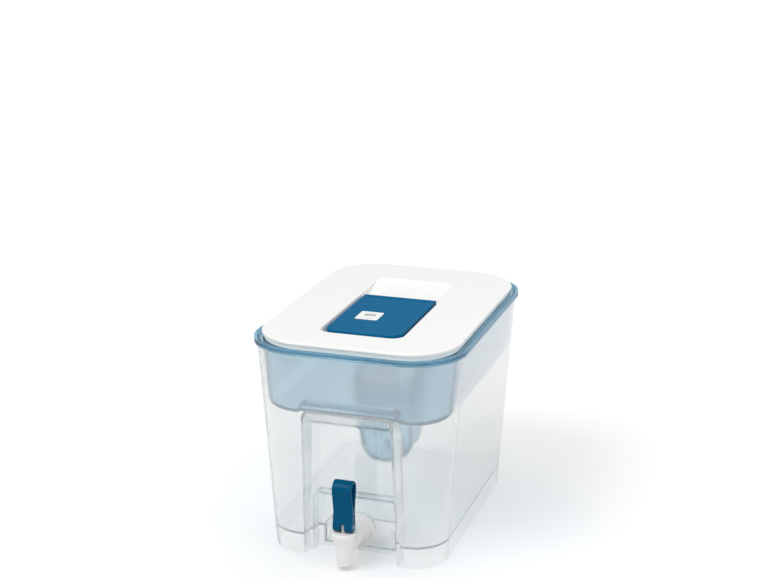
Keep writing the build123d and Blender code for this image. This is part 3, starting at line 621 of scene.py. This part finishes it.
def mark_bends(surface: bpy.types.Object) -> None:
    """Writes how tightly each face is rounded, from 0 on a flat to 1 on a tight fold.

    Where a wide round meets a flat its mark is 0, so that the mark fades in, and it is 0 inside
    the vessel. A fold is marked wherever it is.

    Args:
        surface: The piece, of loose triangles with their own normals.
    """
    places, normals = corners_of(surface.data)
    triangles = places.reshape(-1, 3, 3), normals.reshape(-1, 3, 3)
    steps = [np.linalg.norm(each - np.roll(each, 1, axis=1), axis=2) for each in triangles]
    curve = (steps[1] / np.maximum(steps[0], SHORT)).max(axis=1)
    curve[curve < 1 / WIDE_RADIUS] = 0.0
    face_bend = np.repeat(np.clip(curve * TIGHT_RADIUS, 0.0, 1.0), 3)

    keys = np.hstack([np.round(places / SAME_PLACE), np.round(normals / SAME_NORMAL)])
    group = np.unique(keys.astype(int), axis=0, return_inverse=True)[1].ravel()
    lowest = np.full(group.max() + 1, np.inf)
    np.minimum.at(lowest, group, face_bend)

    middle = (places.min(axis=0) + places.max(axis=0)) / 2
    outward = ((places - middle)[:, :2] * normals[:, :2]).sum(axis=1) > 0
    turned_out = outward | (normals[:, 2] < DOWNWARD)
    fading = np.where(turned_out, lowest[group], 0.0)
    marked = np.where(face_bend < FOLD, fading, face_bend)
    bend = surface.data.attributes.new(BEND, "FLOAT", "CORNER")
    bend.data.foreach_set("value", marked.astype(np.float32))


def body_of_node(node: str) -> str:
    """Name of the body that a frame node belongs to."""
    return frame["nodes"][node]["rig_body"]


@dataclass
class SubAssembly(ABC):
    """A group of pieces that are modelled and dressed together."""

    shop: Workshop

    @abstractmethod
    def build(self) -> None:
        """Makes every piece of the sub-assembly."""

    def surface(
        self,
        node: str,
        slot: Slot,
        edge: float = 0.0,
        material: Optional[bpy.types.Material] = None,
    ) -> bpy.types.Object:
        """Surface of a frame node as a piece of its own, dressed and riding on the node's body.

        Args:
            node: The frame node.
            slot: Slot that names its finish.
            edge: Width of its softened edges, or 0 to keep the edges and normals as drawn.
            material: Its own material, where that isn't the slot's.

        Returns:
            The piece, which stands for the node.
        """
        piece = bpy.data.objects.new(node + "_surface", frame["nodes"][node].data.copy())
        bpy.context.scene.collection.objects.link(piece)
        if edge:
            soften_edges(piece, edge)
        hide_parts(node)
        return self.dress(piece, body_of_node(node), slot, material)

    def dress(
        self,
        piece: bpy.types.Object,
        body: str,
        slot: Slot,
        material: Optional[bpy.types.Material] = None,
    ) -> bpy.types.Object:
        """Gives a piece its finish and lets it ride on a body.

        Args:
            piece: The finished mesh.
            body: Body that carries it.
            slot: Slot that names its finish.
            material: Its own material, where that isn't the slot's.

        Returns:
            The piece.
        """
        piece.data.materials.clear()
        piece.data.materials.append(material or self.shop.materials[slot])
        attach(piece, body)
        log.info("%s: %s, %d faces", type(self).__name__, piece.name, len(piece.data.polygons))
        return piece


@dataclass
class Tank(SubAssembly):
    """Clear tank, whose rounded corners get painted dark lines."""

    def build(self) -> None:
        """Makes the tank."""
        mark_bends(self.surface("tank", Slot.CLEAR))


@dataclass
class Hopper(SubAssembly):
    """Tinted hopper with the well for the cartridge."""

    def build(self) -> None:
        """Makes the hopper."""
        mark_bends(self.surface("hopper", Slot.TINTED))


@dataclass
class Tap(SubAssembly):
    """Tap with its lever, stem, seals and fixings.

    Each edge is the width of a softened edge, here and in the classes below.
    """

    edge: float = 0.25 * MILLIMETRE
    lever_edge: float = 0.35 * MILLIMETRE
    pin_edge: float = 0.15 * MILLIMETRE

    def build(self) -> None:
        """Makes the tap from the wall outwards."""
        for node in ("tap_body", "tap_bonnet", "tap_nut"):
            self.surface(node, Slot.WHITE, self.edge)
        for node in ("tap_outer_washer", "tap_inner_washer", "tap_seat_cup"):
            self.surface(node, Slot.SILICONE, self.edge)
        self.surface("tap_stem", Slot.STEM, self.edge)
        self.surface("lever_pin", Slot.PIN, self.pin_edge)
        self.surface("tap_lever", Slot.DEEP_BLUE, self.lever_edge)


@dataclass
class Cartridge(SubAssembly):
    """Filter cartridge with its cap, pull loop, screens and granules."""

    edge: float = 0.25 * MILLIMETRE
    screen_edge: float = 0.12 * MILLIMETRE

    def build(self) -> None:
        """Makes the cartridge."""
        for node in ("cartridge_cup", "cartridge_cap", "cartridge_pull_loop"):
            self.surface(node, Slot.WHITE, self.edge, self.shop.cartridge_white)
        for node in ("cartridge_bottom_screen", "cartridge_top_screen"):
            self.surface(node, Slot.SCREEN, self.screen_edge)
        self.surface("filter_media", Slot.MEDIA, self.edge)


@dataclass
class Lid(SubAssembly):
    """White lid with its dish."""

    edge: float = 0.3 * MILLIMETRE

    def build(self) -> None:
        """Makes the lid."""
        self.surface("lid", Slot.WHITE, self.edge)


@dataclass
class Cover(SubAssembly):
    """Blue cover over the fill opening, with the memo that counts the cartridge's weeks.

    The sizes named bar are of the display's level bars.
    """

    edge: float = 0.15 * MILLIMETRE
    bars: int = 4
    bar_width: float = 1.7 * MILLIMETRE
    bar_length: float = 4.6 * MILLIMETRE
    bar_height: float = 0.08 * MILLIMETRE
    bar_pitch: float = 2.5 * MILLIMETRE
    bar_round: float = 0.03 * MILLIMETRE
    bar_forward: float = 0.575 * MILLIMETRE  # of the display's middle

    def build(self) -> None:
        """Makes the cover and the memo."""
        self.surface("cover", Slot.BLUE, self.edge)
        self.surface("memo_back_door", Slot.BLUE, self.edge)
        for node in ("memo_bezel", "memo_button"):
            self.surface(node, Slot.WHITE, self.edge)
        self.surface("memo_display", Slot.DISPLAY, self.edge)
        self.surface("memo_board", Slot.BOARD, self.edge)
        self.surface("memo_battery", Slot.CELL, self.edge)
        self.level_bars()

    def level_bars(self) -> None:
        """Models the display's row of level bars."""
        low, high = (Vector(corner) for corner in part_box("memo_display"))
        middle = (low + high) / 2
        parts = []
        for number in range(self.bars):
            across = (number - (self.bars - 1) / 2) * self.bar_pitch
            place = (middle.x + across, middle.y - self.bar_forward, high.z)
            parts.append(self.bar(place))
        bpy.ops.object.select_all(action="DESELECT")
        for part in parts:
            part.select_set(True)
        bpy.context.view_layer.objects.active = parts[0]
        bpy.ops.object.join()
        row = bpy.context.object
        row.name = "memo_level_bars"
        bpy.ops.object.transform_apply(location=True, rotation=True, scale=True)
        self.dress(row, body_of_node("memo_display"), Slot.DISPLAY, self.shop.segments)

    def bar(self, place: Place) -> bpy.types.Object:
        """Models one bar, half sunk in the display.

        Args:
            place: Centre of the bar, on the display's face.

        Returns:
            The bar.
        """
        bpy.ops.object.select_all(action="DESELECT")
        bpy.ops.mesh.primitive_cube_add(size=1.0, location=place)
        bar = bpy.context.object
        bar.scale = (self.bar_width, self.bar_length, 2 * self.bar_height)
        bpy.ops.object.transform_apply(location=True, rotation=True, scale=True)
        bpy.ops.object.mode_set(mode="EDIT")
        bpy.ops.mesh.select_all(action="SELECT")
        bpy.ops.mesh.bevel(offset=self.bar_round, segments=2, affect="EDGES")
        bpy.ops.object.mode_set(mode="OBJECT")
        bpy.ops.object.shade_smooth_by_angle(angle=CREASE)
        return bar


# ---------------------------------------------------------------- studio


@dataclass(frozen=True)
class Softbox:
    """Square soft lamp that faces the object and doesn't show in the picture."""

    name: str
    place: Place
    size: float
    power: float

    def light(self, aim: Place) -> None:
        """Hangs the lamp.

        Args:
            aim: The point that it faces.
        """
        bpy.ops.object.light_add(type="AREA", location=self.place)
        lamp = bpy.context.object
        lamp.name = self.name
        lamp.data.size = self.size
        lamp.data.energy = self.power
        lamp.rotation_euler = (Vector(aim) - Vector(self.place)).to_track_quat("-Z", "Y").to_euler()
        lamp.visible_camera = False
        lamp.visible_transmission = False


SOFTBOXES = (
    Softbox("key_softbox", (-1.0, -1.5, 2.3), 1.3, 34.0),
    Softbox("fill_softbox", (2.3, -1.1, 1.2), 1.1, 12.0),
    Softbox("rear_softbox", (0.3, 1.9, 1.7), 1.4, 8.0),
)


@dataclass
class Studio:
    """Pale floor, soft lamps, white surroundings and the camera."""

    floor_size: float = 60.0
    azimuth: float = math.radians(18.2507)  # of the camera, round from the front towards +X
    elevation: float = math.radians(16.4318)
    roll: float = math.radians(0.05)
    distance: float = 1.494
    aim: Place = (0.0, -0.0158, 0.2365)
    focal_length: float = 74.38  # in millimetres, as the sensor
    sensor_width: float = 36.0
    shift_up: float = -0.0053
    paper: Colour = (0.66, 0.66, 0.66)
    paper_glow: tuple = (0.25, 0.5)  # near the object and far from it
    glow_reach: tuple = (0.3, 2.2)  # from near to far
    overhead: tuple = (0.64, 0.9)  # soft light from just below the horizon and from straight above
    overhead_reach: tuple = (-0.1, 1.0)  # upright part of the way, here and in mirror_height_reach
    flags: Colour = (0.04, 0.19, 0.25)  # cloths that mirrors show low down and beside the object
    mirror_height: tuple = (0.12, 1.0)  # how little of the flags shows low down and high up
    mirror_height_reach: tuple = (0.1, 0.85)
    mirror_side: tuple = (1.0, 0.55)  # and straight ahead and to the sides
    mirror_side_reach: tuple = (0.2, 0.85)

    def build(self) -> None:
        """Builds the whole studio."""
        self.floor()
        self.surroundings()
        for softbox in SOFTBOXES:
            softbox.light(self.aim)
        self.camera()

    def floor(self) -> None:
        """Wide pale floor, white to the eye where nothing shades it."""
        bpy.ops.mesh.primitive_plane_add(size=self.floor_size)
        floor = bpy.context.object
        floor.name = "floor"
        material = bpy.data.materials.new("floor_paper")
        material.use_nodes = True
        material.node_tree.nodes.clear()
        sheet = NodeSheet(material.node_tree)
        paper = sheet.add("BsdfDiffuse", {"Color": self.paper})
        place = sheet.add("TexCoord").outputs["Object"]
        far = sheet.add("VectorMath", {0: place}, operation="LENGTH")
        level = sheet.ramp(far.outputs["Value"], self.glow_reach, self.paper_glow)
        glow = sheet.add("Emission", {"Color": WHITE_LIGHT, "Strength": level})
        lifted = sheet.add("AddShader", {0: paper.outputs[0], 1: glow.outputs[0]})
        shader = sheet.add(
            "MixShader", {0: self.seen(sheet), 1: paper.outputs[0], 2: lifted.outputs[0]}
        )
        sheet.add("OutputMaterial", {"Surface": shader.outputs[0]})
        floor.data.materials.append(material)

    def seen(self, sheet: NodeSheet) -> Socket:
        """Tells the rays that show a thing to the eye from those that light it.

        Args:
            sheet: Sheet of the material that asks.

        Returns:
            1 for rays that go to the eye straight, mirrored or through glass, and 0 for others.
        """
        path = sheet.add("LightPath")
        direct = sheet.math("MAXIMUM", path.outputs["Is Camera Ray"], path.outputs["Is Glossy Ray"])
        return sheet.math("MAXIMUM", direct, path.outputs["Is Transmission Ray"])

    def surroundings(self) -> None:
        """Room that is white to the eye, lights softly from above and shows flags in mirrors."""
        world = bpy.data.worlds.new("studio_room")
        bpy.context.scene.world = world
        world.use_nodes = True
        world.node_tree.nodes.clear()
        sheet = NodeSheet(world.node_tree)
        path = sheet.add("LightPath")
        way = sheet.add("SeparateXYZ", {0: sheet.add("TexCoord").outputs["Generated"]})
        overhead = sheet.ramp(way.outputs["Z"], self.overhead_reach, self.overhead)
        light = sheet.add("Background", {"Color": WHITE_LIGHT, "Strength": overhead})
        white = sheet.add("Background", {"Color": WHITE_LIGHT, "Strength": 1.0})
        aside = sheet.math("ABSOLUTE", way.outputs["X"])
        side = sheet.ramp(aside, self.mirror_side_reach, self.mirror_side)
        height = sheet.ramp(way.outputs["Z"], self.mirror_height_reach, self.mirror_height)
        level = sheet.math("MULTIPLY", side, height)
        mirror = sheet.add("Background", {"Color": sheet.blend(level, self.flags, WHITE_LIGHT)})
        through = sheet.math(
            "MAXIMUM", path.outputs["Is Camera Ray"], path.outputs["Is Transmission Ray"]
        )
        first = sheet.add("MixShader", {0: through, 1: light.outputs[0], 2: white.outputs[0]})
        mirrored = path.outputs["Is Glossy Ray"]
        last = sheet.add("MixShader", {0: mirrored, 1: first.outputs[0], 2: mirror.outputs[0]})
        sheet.add("OutputWorld", {"Surface": last.outputs[0]})

    def camera(self) -> None:
        """Camera above and to the right of the front."""
        back = Vector(
            (
                math.sin(self.azimuth) * math.cos(self.elevation),
                -math.cos(self.azimuth) * math.cos(self.elevation),
                math.sin(self.elevation),
            )
        )
        bpy.ops.object.camera_add(
            location=Vector(self.aim) + back * self.distance,
            rotation=(math.pi / 2 - self.elevation, self.roll, self.azimuth),
        )
        camera = bpy.context.object
        camera.name = "studio_camera"
        camera.data.sensor_width = self.sensor_width
        camera.data.lens = self.focal_length
        camera.data.shift_y = self.shift_up
        bpy.context.scene.camera = camera


# ---------------------------------------------------------------- the whole object


ASSEMBLIES = (Tank, Tap, Hopper, Cartridge, Lid, Cover)  # from the floor up


def main() -> None:
    """Builds the object and the studio, in order."""
    logging.basicConfig(level=logging.INFO, format="%(message)s")
    shop = Workshop()
    for assembly in ASSEMBLIES:
        assembly(shop).build()
    Studio().build()
    bpy.context.scene.view_settings.view_transform = "Standard"
    for kind in ("max", "transmission", "glossy", "transparent_max"):
        name = kind + "_bounces"
        setattr(bpy.context.scene.cycles, name, LIGHT_BOUNCES)


if __name__ == "__main__":
    main()
